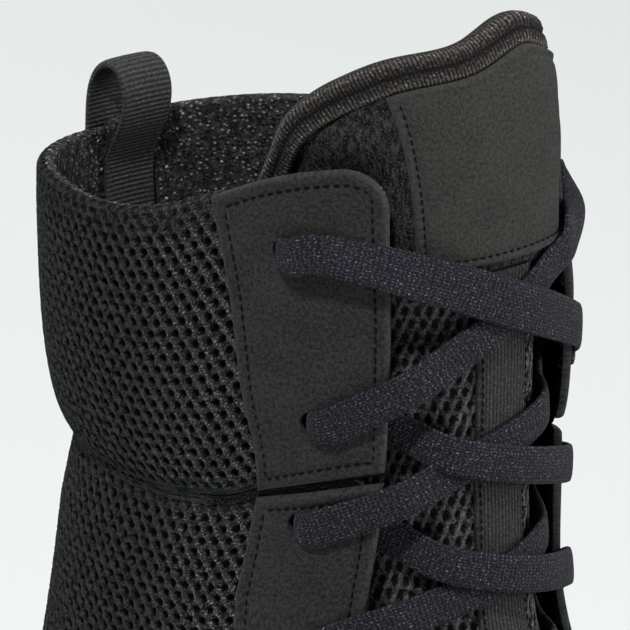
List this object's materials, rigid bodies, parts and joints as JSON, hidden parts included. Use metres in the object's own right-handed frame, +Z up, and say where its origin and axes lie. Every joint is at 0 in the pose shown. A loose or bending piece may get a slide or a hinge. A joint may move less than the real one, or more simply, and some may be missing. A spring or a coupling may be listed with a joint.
{
  "type": "boxing shoe",
  "caption": "High-cut right boxing shoe with a hollow mesh upper, padded ankle cuff, suede eyestays, flat laces, padded tongue, heel pull loop and a thin rubber sole.",
  "frame": {"origin": "on the floor under the middle of the shoe's bounding box", "axes": "+X to the toe, +Y to the inner side of the foot, +Z up"},
  "size_m": [0.2914, 0.1007, 0.212],
  "materials": {
    "sole_rubber": "matte",
    "insole_foam": "brushed cloth over foam",
    "upper_mesh": "open spacer mesh",
    "eyestay_suede": "suede nap",
    "webbing": "ribbed weave",
    "lace_weave": "flat weave"
  },
  "bodies": {
    "root": {"outsole": "sole_rubber", "insole": "insole_foam", "upper": "upper_mesh", "tongue": "upper_mesh", "tongue_binding": "webbing", "tongue_patch": "eyestay_suede", "tongue_strip": "webbing", "eyestay_cuff_lateral": "eyestay_suede", "eyestay_cuff_medial": "eyestay_suede", "eyestay_lower": "eyestay_suede", "pull_loop": "webbing", "lace_cross_1": "lace_weave", "lace_cross_2": "lace_weave", "lace_cross_3": "lace_weave", "lace_cross_4": "lace_weave", "lace_cross_5": "lace_weave", "lace_cross_6": "lace_weave", "lace_cross_7": "lace_weave", "lace_cross_8": "lace_weave", "lace_bar": "lace_weave"}
  },
  "joints": []
}
